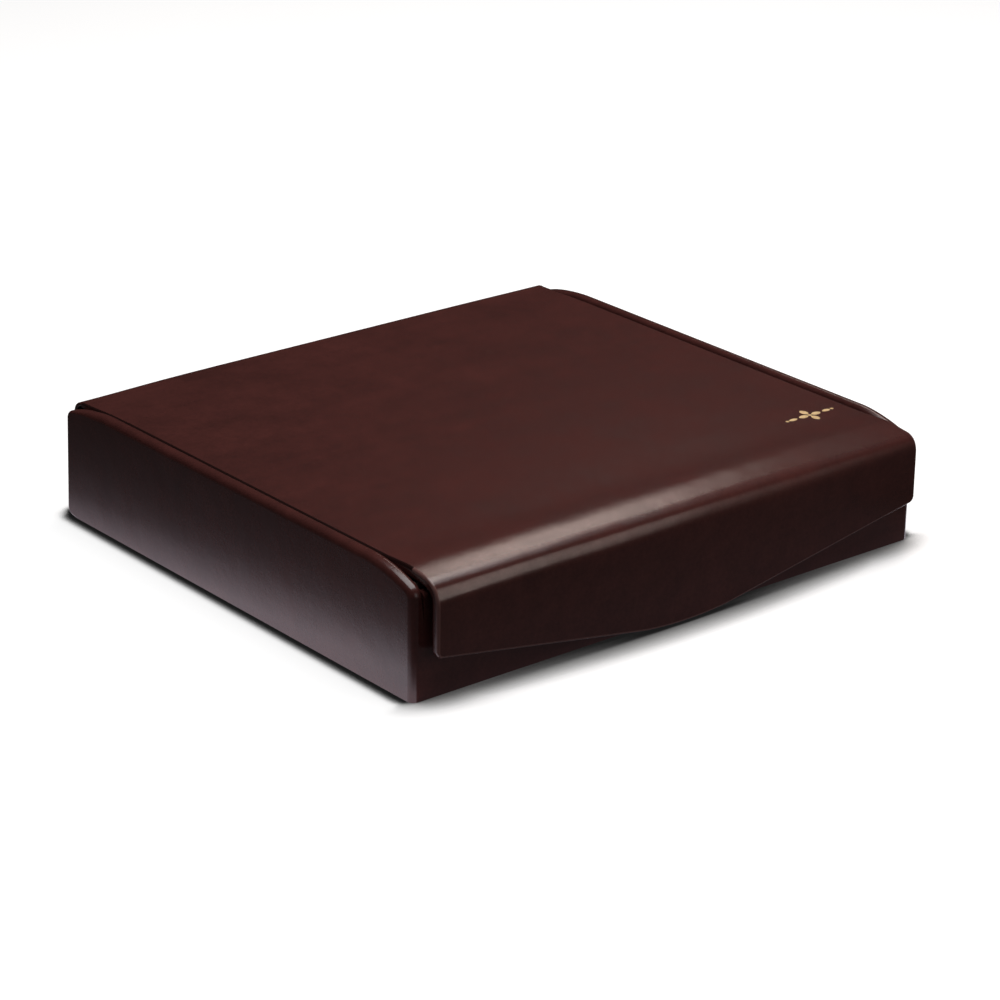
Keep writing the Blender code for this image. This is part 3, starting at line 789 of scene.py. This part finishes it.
def pointed(bm, inset, corner_radius, point_run):
    """Trims the strip's lower end to the flap's shallow point, and rounds its three corners."""
    sizes = leather_sizes()
    tip = sizes.flap_corner_height - sizes.flap_point_depth
    slope = sizes.flap_point_depth / STRIP_HALF
    lift = inset * math.sqrt(1 + slope * slope)
    for side in (-1, 1):
        outward = Vector((side * slope * (1 + side * sizes.flap_tilt), 0, -1))
        sliced(bm, Vector((0, 0, tip + lift)), outward)
    through = [
        edge for edge in bm.edges
        if middle_of(edge).z < sizes.flap_corner_height + POINT_ROOM
        and abs(run_of(edge).normalized().y) > CROSSWISE
    ]
    corners = [edge for edge in through if abs(middle_of(edge).x) > STRIP_HALF / 2]
    tips = [edge for edge in through if abs(middle_of(edge).x) < STRIP_HALF / 2]
    bevelled(bm, corners, corner_radius, 6)
    bevelled(bm, [edge for edge in tips if edge.is_valid], point_run, 12)


def rim_edges(bm, outer, end_y=None):
    """The corners of a strip's outer or inner skin, without those of a flat end at end_y."""
    middle = leather_sizes().strip_thickness / 2
    return [
        edge for edge in bm.edges
        if edge.is_manifold and edge.calc_face_angle() > CORNER_ANGLE
        and (end_y is None or any(abs(v.co.y - end_y) > TINY for v in edge.verts))
        and all((skin_depth(v.co) < middle) == outer for v in edge.verts)
    ]


def cut_across(bm, count):
    """Adds cuts along the strip, side by side, so that it can take a soft shape."""
    for k in range(1, count):
        cut(bm, Vector((STRIP_HALF * (2 * k / count - 1), 0, 0)), Vector((1, 0, 0)))


def corner_sag(spot):
    """How far the leather over the back edge is drawn down, most of all at the left corner."""
    along = max(0.0, hinge_centre().y - spot.y)
    left = math.exp(-((spot.x + STRIP_HALF) / SAG_WIDTH) ** 2)
    right = math.exp(-((spot.x - STRIP_HALF) / SAG_WIDTH) ** 2)
    sideways = SAG_MIDDLE + SAG_LEFT * left + SAG_RIGHT * right
    return leather_sizes().corner_sag * sideways * math.exp(-(along / SAG_RUN) ** 2)


def bend_fullness(x):
    """How far the bend stands out: evenly more to the right, most at its end, and wavering."""
    right = x / STRIP_HALF
    fuller = FULLNESS + FULLNESS_RIGHT * right + FULLNESS_END * max(0.0, right) ** 3
    return fuller + WAVER * math.sin(x * WAVER_PACE + 1)


def soften_strip(bm):
    """Draws the back corners down, swells the lid before the bend, and lets the bend stand out."""
    sizes = leather_sizes()
    gentle, tight = bend_centres()
    for vert in bm.verts:
        spot = vert.co
        share = 1 - clamped(skin_depth(spot) / sizes.strip_thickness)
        vert.co.z -= share * corner_sag(spot)
        near = clamped((gentle.y + CROWN_START - spot.y) / CROWN_RUN)
        height = clamped((spot.z - tight.z) / (STRIP_TOP - tight.z))
        vert.co.z += share * height * sizes.crown * near * near * (3 - 2 * near)
        if spot.y < gentle.y and spot.z > tight.z:
            angle = math.atan2(tight.y - spot.y, spot.z - tight.z)
            way = Vector((0, -math.sin(angle), math.cos(angle)))
            vert.co += way * share * bend_fullness(spot.x) * math.sin(2 * max(0.0, angle)) ** 2


def build_lid_strip():
    """The leather-covered boards of lid, bend and flap, in one piece."""
    sizes = leather_sizes()
    start_y = hinge_centre().y
    bm = strip_bmesh(start_y, 0.0, STRIP_TOP, STRIP_TOP - sizes.strip_thickness)
    pointed(bm, 0.0, sizes.flap_corner_radius, sizes.flap_point_run)
    rubbed_highlit_y = bend_centres()[0].y - EDGE_START
    # Edge faces on the bend and flap get the lighter rubbed tone with painted highlight; those
    # along the lid get painted shade.
    marks = bm.faces.layers.float.new(EDGE_LIGHT_SHADE_LAYER)
    for face in bevelled(bm, rim_edges(bm, True, start_y), sizes.strip_edge, 5):
        face[marks] = RUBBED_HIGHLIT if face.calc_center_median().y < rubbed_highlit_y else GAP_SHADED
    inner_edge = sizes.strip_edge * INNER_EDGE_SHARE
    bevelled(bm, rim_edges(bm, False, start_y), inner_edge, 2)
    cut_across(bm, STRIP_CUTS)
    soften_strip(bm)
    piece(
        "lid_strip", bm, "waxed_leather", blend=BEND_BLEND,
        replaces=[
            "lid_leather", "lid_board", "bend_leather", "bend_padding",
            "flap_leather", "flap_board", "flap_magnet_left", "flap_magnet_right",
        ],
    )


def build_strip_lining():
    """The suede glued to the underside of the lid, the bend and the flap."""
    start_y = hinge_centre().y - LINING_THICKNESS
    outer = STRIP_TOP - leather_sizes().strip_thickness + LINING_THICKNESS / 4
    bm = strip_bmesh(start_y, LINING_INSET, outer, STRIP_TOP - STRIP_THICKNESS)
    pointed(bm, LINING_INSET, LINING_CORNER, leather_sizes().flap_point_run)
    bevelled(bm, rim_edges(bm, False), inside_sizes().soft_edge / 2, 2)
    cut_across(bm, LINING_CUTS)
    piece(
        "strip_lining", bm, "lining_suede", blend=BEND_BLEND,
        replaces=["lid_lining", "bend_lining", "flap_lining"],
    )


def build_spine():
    """The leather down the back and over the back edge."""
    centre = hinge_centre()
    low, back = SPINE_LOW.z, SPINE_HIGH.y
    skin = SKIN_THICKNESS * SPINE_FULLNESS
    front = back - skin
    bm = bmesh.new()
    corners = ((-STRIP_HALF, back), (STRIP_HALF, back), (STRIP_HALF, front), (-STRIP_HALF, front))
    face = flat_face(bm, [(x, y, low) for x, y in corners])
    face = pushed(bm, face, Vector((0, 0, centre.z - low)))
    turned(bm, face, centre, math.pi / 2, HINGE_STEPS)
    rim = [
        edge for edge in bm.edges
        if edge.calc_face_angle() > CORNER_ANGLE
        and any(v.co.y > centre.y + TINY for v in edge.verts)
    ]
    bevelled(bm, rim, skin / 3, 3)
    cut_across(bm, STRIP_CUTS)
    for vert in bm.verts:
        share = clamped((vert.co.z - HINGE_LOW.z) / (HINGE_HIGH.z - HINGE_LOW.z))
        vert.co.z -= share * corner_sag(vert.co)
    piece(
        "spine_and_hinge", bm, "waxed_leather",
        blend=("tray", "lid", (0, HINGE_HIGH.y, HINGE_LOW.z), (0, centre.y, HINGE_HIGH.z)),
        replaces=["spine_leather", "hinge_leather"],
    )


# Inside

CREASE_SCALE = 60  # fineness of the creases
GROOVE_PLACES = (-0.36, 0.36)  # a cushion's grooves, as shares of its half depth
GROOVE_HALF_WIDTH = 0.0022
GROOVE_DEPTH = 0.0016


def suede_piece(node, bm, ending="_suede", even=True):
    """A suede piece in the place of a CAD node."""
    return piece(
        node + ending, bm, "lining_suede", body="tray", replaces=[node], even=even
    )


def build_lining(node):
    """A suede-covered card against a wall or the floor."""
    low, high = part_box(node)
    bm = block(low, high)
    bevelled(bm, bm.edges[:], inside_sizes().soft_edge, 3)
    suede_piece(node, bm)


def build_divider(node):
    """A padded divider with a round top."""
    low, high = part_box(node)
    bm = block(low, high)
    top = [e for e in bm.edges if min(v.co.z for v in e.verts) > (low.z + high.z) / 2]
    bevelled(bm, top, inside_sizes().divider_round, 6)
    suede_piece(node, bm)


def stuffed(low, high, counts, seam_share, draw, fullness, crease, grooves=()):
    """A stuffed form in a box: crowned both sides of its seam, and drawn in between corners."""
    bm = bmesh.new()
    bmesh.ops.create_grid(bm, x_segments=counts[0], y_segments=counts[1], size=1)
    lower = bmesh.ops.duplicate(bm, geom=every(bm))["geom"]
    under = {item for item in lower if isinstance(item, bmesh.types.BMVert)}
    centre, half = (low + high) / 2, (high - low) / 2
    height = high.z - low.z
    seam = seam_share * height
    for vert in bm.verts:
        u = math.sin(vert.co.x * math.pi / 2)
        v = math.sin(vert.co.y * math.pi / 2)
        full = max(0.0, 1 - abs(u) ** fullness[0]) * max(0.0, 1 - abs(v) ** fullness[1])
        rise = math.sqrt(full)
        x = half.x * u * (1 - draw[0] * (1 - v * v))
        y = half.y * v * (1 - draw[1] * (1 - u * u))
        if vert in under:
            z = seam - min(seam, seam * rise * 2)
        else:
            z = seam + (height - seam) * rise
            for place, half_width, depth in grooves:
                away = abs(y - place) / half_width
                z -= depth * rise * math.exp(-away * away * 2)
        spot = Vector((centre.x + x, centre.y + y, low.z + z))
        if vert not in under:
            spot.z += crease * rise * (noise.noise(spot * CREASE_SCALE) - 0.5)
        vert.co = spot
    return bm


def build_watch_cushion(node):
    """A stuffed cushion with two grooves across, in which a watch's strap lies."""
    low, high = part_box(node)
    half = (high - low) / 2
    count = inside_sizes().cushion_rings
    bm = stuffed(
        low, high, (count * 2 // 3, count), seam_share=0.38, draw=(0.035, 0.025),
        fullness=(3.0, 4.0), crease=0.0012,
        grooves=[(place * half.y, GROOVE_HALF_WIDTH, GROOVE_DEPTH) for place in GROOVE_PLACES],
    )
    suede_piece(node, bm, "_pad", even=False)


def build_ring_roll(node):
    """A long stuffed roll, between two of which a ring is held."""
    low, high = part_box(node)
    bm = stuffed(
        low, high, (36, 18), seam_share=0.47, draw=(0.0, 0.03), fullness=(9.0, 2.0),
        crease=0.0005,
    )
    suede_piece(node, bm, "_pad", even=False)


# Small gold ornament on the lid

ORNAMENT_PLACE = (0.0955, -0.0765)
ORNAMENT_LIFT = 0.00006
LEAF_POINTS = 16
LEAF_SWELL = 0.3  # the higher, the more pointed a leaf is
LEAF_SIZE, LEAF_REACH = (0.0044, 0.0027), 0.0032  # length and width, and the way to the middle
SIDE_LEAF_SIZE, SIDE_LEAF_REACH = (0.0040, 0.0020), 0.0086
BEADS = ((0, 0.0008), (-0.0116, 0.0007), (0.0116, 0.0007))  # place and radius
BEAD_POINTS = 20


def leaf_face(bm, centre, size, turn):
    """A small pointed leaf, as a flat face."""
    points = []
    for k in range(LEAF_POINTS):
        angle = 2 * math.pi * k / LEAF_POINTS
        across = math.sin(angle) * abs(math.sin(angle)) ** LEAF_SWELL
        spot = Vector((size[0] / 2 * math.cos(angle), size[1] / 2 * across, 0))
        spot.rotate(Matrix.Rotation(turn, 3, "Z"))
        points.append(centre + spot)
    flat_face(bm, points)


def build_ornament():
    """Four leaves round a bead, with a smaller leaf and a bead each side, in gold foil."""
    bm = bmesh.new()
    middle = Vector((*ORNAMENT_PLACE, STRIP_TOP))
    for k in range(4):
        turn = math.pi / 2 * k
        spot = Vector((math.cos(turn), math.sin(turn), 0)) * LEAF_REACH
        leaf_face(bm, middle + spot, LEAF_SIZE, turn)
    for side in (-1, 1):
        leaf_face(bm, middle + Vector((side * SIDE_LEAF_REACH, 0, 0)), SIDE_LEAF_SIZE, 0)
    for x, radius in BEADS:
        bmesh.ops.create_circle(
            bm, cap_ends=True, segments=BEAD_POINTS, radius=radius,
            matrix=Matrix.Translation(middle + Vector((x, 0, 0))),
        )
    for face in bm.faces[:]:
        pushed(bm, face, Vector((0, 0, ORNAMENT_LIFT)))
    piece("lid_ornament", bm, "gold_foil", body="lid")


# Studio

SENSOR_WIDTH = 36
CLIP = (0.05, 50)
WHITE, WARM = (1.0, 1.0, 1.0), (1.0, 0.84, 0.76)

# Each lamp: name, place, spot that it points at, width and height, power, colour and the
# degrees by which it is turned in its own plane
LAMPS = (
    ("top_softbox", (0.0, -0.02, 1.30), (0, -0.02, 0), (1.5, 1.0), 20.0, WHITE, 0),
    ("high_softbox", (0.50, 0.20, 0.84), (-0.06, -0.11, 0.04), (0.20, 0.90), 2.1, WARM, -50),
    ("low_softbox", (0.52, -0.92, 0.40), (-0.08, -0.11, 0.04), (0.78, 0.22), 1.6, WARM, -18),
    ("front_softbox", (-0.15, -1.2, 0.40), (0, -0.11, 0.03), (0.5, 0.6), 0.8, WHITE, 0),
)

FLOOR_DARK = (0.03, 0.03, 0.031, 1)  # the floor's colour in reflections
GLOW_INSET = 0.012  # the glow at the sides is this much narrower at the box's middle
GLOW_SLANT = 0.12  # and narrows by this share of the way back
GLOW_RANGE = 0.1  # the distance from the box that the stops are shares of
GLOW_STOPS = (
    (0.15, (0.86, 0.80, 0.90)), (0.28, (0.48, 0.44, 0.50)), (0.40, (0.15, 0.138, 0.158)),
    (0.56, (0.05, 0.046, 0.052)), (0.95, (0.007, 0.007, 0.007)),
)
FRONT_INSET = 0.002  # the floor in front starts this far in from the box's left side
FRONT_AWAY = 0.052  # and glows as if it were this much farther away
CORNER_FALL, FRONT_EASE = 2.0, 1.5  # how fast the glow fades forwards, and how much less in front
SHADE_EDGE = (0.003, -0.001)  # the front's shade takes over between these places at the wall
SHADE_REACH = (0.0078, 0.015)  # reach of the shade at the sides and in front
# How bright the floor is by how open it is, at the sides and in front
SIDE_STOPS = ((0.66, 0.010), (0.74, 0.03), (0.78, 0.17), (0.86, 0.58), (0.90, 0.84), (0.96, 0.96))
FRONT_STOPS = ((0.30, 0.03), (0.54, 0.20), (0.78, 0.52), (0.97, 0.97))
SHADE_SAMPLES = 16
FLOOR_TONE = (0.5, 0.93)  # colour that the camera sees, at the sides and in front
FLOOR_LIFT = (0.68, 0.30)  # and the light that is added to it


def build_camera():
    """The camera, at the photograph's place and angle."""
    studio = studio_sizes()
    az, el, roll = studio.azimuth, studio.elevation, studio.roll
    back = Vector((math.sin(az) * math.cos(el), -math.cos(az) * math.cos(el), math.sin(el)))
    right = Vector((0, 0, 1)).cross(back).normalized()
    up = back.cross(right)
    level_right = math.cos(roll) * right + math.sin(roll) * up
    level_up = math.cos(roll) * up - math.sin(roll) * right
    place = Matrix((level_right, level_up, back)).transposed().to_4x4()
    place.translation = (
        studio.shift_right * level_right + studio.shift_up * level_up + studio.distance * back
    )
    camera = linked("camera", bpy.data.cameras.new("camera"))
    camera.matrix_world = place
    camera.data.sensor_width = SENSOR_WIDTH
    camera.data.lens = studio.focal_length
    camera.data.clip_start, camera.data.clip_end = CLIP
    bpy.context.scene.camera = camera


def build_lamp(name, place, aim, size, power, colour, turn):
    """A soft rectangular lamp."""
    data = bpy.data.lights.new(name, "AREA")
    data.color = colour
    data.shape = "RECTANGLE"
    data.size, data.size_y = size
    data.energy = power
    away = (Vector(place) - Vector(aim)).normalized()
    aimed = away.to_track_quat("Z", "X").to_matrix().to_4x4()
    spin = Matrix.Rotation(math.radians(turn), 4, "Z")
    linked(name, data).matrix_world = Matrix.Translation(place) @ aimed @ spin


def floor_place(tree):
    """How far a spot of the floor lies to the right, and how far back."""
    coords = add_node(tree, "ShaderNodeTexCoord").outputs["Object"]
    split = add_node(tree, "ShaderNodeSeparateXYZ", [("Vector", coords)])
    return split.outputs["X"], split.outputs["Y"]


def floor_glow(tree):
    """How bright the floor is beside the box: a band along its sides and back, little in front."""
    x, y = floor_place(tree)
    across = combined(tree, "ABSOLUTE", x, 0.0)
    slant = combined(tree, "MULTIPLY_ADD", y, GLOW_SLANT, GLOW_INSET - HALF_WIDTH)
    beside = combined(tree, "ADD", across, slant)
    behind = combined(tree, "SUBTRACT", y, BACK_HIGH.y)
    away = combined(tree, "MAXIMUM", combined(tree, "MAXIMUM", beside, behind), 0.0)
    ahead = combined(tree, "MAXIMUM", combined(tree, "SUBTRACT", WALL_LOW.y, y), 0.0)
    front = combined(
        tree, "MULTIPLY", combined(tree, "LESS_THAN", y, WALL_LOW.y),
        combined(tree, "GREATER_THAN", x, FRONT_INSET - HALF_WIDTH),
    )
    ease = combined(tree, "MULTIPLY", front, FRONT_EASE)
    fall = combined(tree, "MULTIPLY", ahead, combined(tree, "SUBTRACT", CORNER_FALL, ease))
    away = weighted_sum(tree, [(away, 1.0), (front, FRONT_AWAY), (fall, 1.0)])
    return ramp(tree, combined(tree, "MULTIPLY", away, 1 / GLOW_RANGE), GLOW_STOPS)


def floor_shade(tree):
    """Which floor is in front, and the shade: a dark line at the sides, a soft one in front."""
    y = floor_place(tree)[1]
    start, end = (WALL_LOW.y + place for place in SHADE_EDGE)
    front = map_range(tree, y, start, end, 0.0, 1.0)
    reach = map_range(tree, front, 0.0, 1.0, *SHADE_REACH)
    opened = add_node(
        tree, "ShaderNodeAmbientOcclusion", [("Distance", reach)], samples=SHADE_SAMPLES
    ).outputs["AO"]
    line, soft = grey_ramp(tree, opened, SIDE_STOPS), grey_ramp(tree, opened, FRONT_STOPS)
    return front, mixed_colour(tree, front, line, soft)


def added(tree, first, second):
    return add_node(tree, "ShaderNodeAddShader", [(0, first), (1, second)]).outputs["Shader"]


def diffuse(tree, colour):
    return add_node(tree, "ShaderNodeBsdfDiffuse", [("Color", colour)]).outputs["BSDF"]


def emission(tree, colour, strength):
    return add_node(
        tree, "ShaderNodeEmission", [("Color", colour), ("Strength", strength)]
    ).outputs["Emission"]


def by_camera_ray(tree, other, seen):
    """One shader as the camera sees it, and another for all other rays."""
    path = add_node(tree, "ShaderNodeLightPath")
    return add_node(tree, "ShaderNodeMixShader", [
        ("Fac", path.outputs["Is Camera Ray"]), (1, other), (2, seen),
    ]).outputs["Shader"]


def floor_material():
    """A floor that the camera sees white with the box's shadow, and that glows beside the box."""
    made = bpy.data.materials.new("pale_floor")
    made.use_nodes = True
    tree = made.node_tree
    tree.nodes.clear()
    lit = added(
        tree, diffuse(tree, FLOOR_DARK), emission(tree, floor_glow(tree), studio_sizes().glow)
    )
    front, shade = floor_shade(tree)
    tone = map_range(tree, front, 0.0, 1.0, *FLOOR_TONE)
    plain = diffuse(tree, mixed_colour(tree, 1.0, shade, tone, blend_type="MULTIPLY"))
    lift = emission(tree, shade, map_range(tree, front, 0.0, 1.0, *FLOOR_LIFT))
    mixed = by_camera_ray(tree, lit, added(tree, plain, lift))
    add_node(tree, "ShaderNodeOutputMaterial", [("Surface", mixed)])
    return made


def build_floor():
    """A pale floor under the box."""
    bm = bmesh.new()
    bmesh.ops.create_grid(bm, x_segments=1, y_segments=1, size=studio_sizes().floor_size / 2)
    mesh = bpy.data.meshes.new("floor")
    bm.to_mesh(mesh)
    bm.free()
    mesh.materials.append(floor_material())
    linked("floor", mesh)


def build_world():
    """A little light from all round, and a background that the camera sees white."""
    world = bpy.data.worlds.new("studio")
    bpy.context.scene.world = world
    world.use_nodes = True
    tree = world.node_tree
    tree.nodes.clear()
    dim, white = (
        add_node(tree, "ShaderNodeBackground", [
            ("Color", (*WHITE, 1)), ("Strength", strength),
        ]).outputs["Background"]
        for strength in (studio_sizes().ambient, 1.0)
    )
    add_node(tree, "ShaderNodeOutputWorld", [("Surface", by_camera_ray(tree, dim, white))])


# Operators

class BOX_OT_cheeks(Operator):
    """Build the two raised side walls"""

    bl_idname = "box.cheeks"
    bl_label = "Cheeks"

    def execute(self, context):
        for side, name in ((-1, "left"), (1, "right")):
            build_cheek(side, name)
        return {"FINISHED"}


class BOX_OT_walls(Operator):
    """Build the front and back walls"""

    bl_idname = "box.walls"
    bl_label = "Front and back wall"

    def execute(self, context):
        build_cross_wall(
            "front", WALL_LOW, WALL_HIGH - Vector((0, 0, FOLD_ROOM)),
            ["front_wall_leather", "front_wall_board", "wall_magnet_left", "wall_magnet_right"],
        )
        build_cross_wall(
            "back", BACK_LOW, BACK_HIGH, ["back_wall_leather", "back_wall_board"]
        )
        return {"FINISHED"}


class BOX_OT_strip(Operator):
    """Build the lid strip with its bend and flap, and its lining"""

    bl_idname = "box.strip"
    bl_label = "Lid strip"

    def execute(self, context):
        build_lid_strip()
        build_strip_lining()
        return {"FINISHED"}


class BOX_OT_spine(Operator):
    """Build the leather of the spine and hinge"""

    bl_idname = "box.spine"
    bl_label = "Spine and hinge"

    def execute(self, context):
        build_spine()
        return {"FINISHED"}


class BOX_OT_inside(Operator):
    """Build the linings, dividers and the ring rolls' card, and give the base its materials"""

    bl_idname = "box.inside"
    bl_label = "Linings and dividers"

    def execute(self, context):
        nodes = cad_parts
        for node in sorted(nodes):
            if node == "floor_lining" or node.endswith("_wall_lining") or node == "ring_roll_card":
                build_lining(node)
            elif node.endswith("_divider"):
                build_divider(node)
        for node, finish in (("base_cover", "base_cloth"), ("base_board", "pressed_board")):
            nodes[node].data.materials.clear()
            nodes[node].data.materials.append(material(finish))
        return {"FINISHED"}


class BOX_OT_cushions(Operator):
    """Build the watch cushions and the ring rolls"""

    bl_idname = "box.cushions"
    bl_label = "Cushions and rolls"

    def execute(self, context):
        for node in sorted(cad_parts):
            if node.startswith("watch_cushion"):
                build_watch_cushion(node)
            elif node.startswith("ring_roll_") and node != "ring_roll_card":
                build_ring_roll(node)
        return {"FINISHED"}


class BOX_OT_ornament(Operator):
    """Build the small gold ornament on the lid"""

    bl_idname = "box.ornament"
    bl_label = "Lid ornament"

    def execute(self, context):
        build_ornament()
        return {"FINISHED"}


class BOX_OT_stage(Operator):
    """Set up the camera, lamps, floor and world"""

    bl_idname = "box.stage"
    bl_label = "Studio"

    def execute(self, context):
        build_camera()
        for lamp in LAMPS:
            build_lamp(*lamp)
        build_floor()
        build_world()
        context.scene.view_settings.view_transform = "Standard"
        return {"FINISHED"}


STEPS = (
    BOX_OT_cheeks, BOX_OT_walls, BOX_OT_strip, BOX_OT_spine,
    BOX_OT_inside, BOX_OT_cushions, BOX_OT_ornament, BOX_OT_stage,
)


class BOX_PT_panel(Panel):
    """Lists the steps that dress the box, and its sizes"""

    bl_idname = "BOX_PT_panel"
    bl_label = "Accessory box"
    bl_space_type = "VIEW_3D"
    bl_region_type = "UI"
    bl_category = "Accessory box"

    def draw(self, context):
        column = self.layout.column()
        for step in STEPS:
            column.operator(step.bl_idname)
        for name, group in GROUPS:
            for size in group.__annotations__:
                column.prop(getattr(context.scene, name), size)


GROUPS = (
    ("leather_sizes", LeatherSizes), ("inside_sizes", InsideSizes), ("studio_sizes", StudioSizes),
)


def register():
    for name, group in GROUPS:
        bpy.utils.register_class(group)
        setattr(bpy.types.Scene, name, PointerProperty(type=group))
    for made in (*STEPS, BOX_PT_panel):
        bpy.utils.register_class(made)


def unregister():
    for made in reversed((*STEPS, BOX_PT_panel)):
        bpy.utils.unregister_class(made)
    for name, group in reversed(GROUPS):
        delattr(bpy.types.Scene, name)
        bpy.utils.unregister_class(group)


def main():
    register()
    for step in STEPS:
        area, call = step.bl_idname.split(".")
        getattr(getattr(bpy.ops, area), call)()


if __name__ == "__main__":
    main()
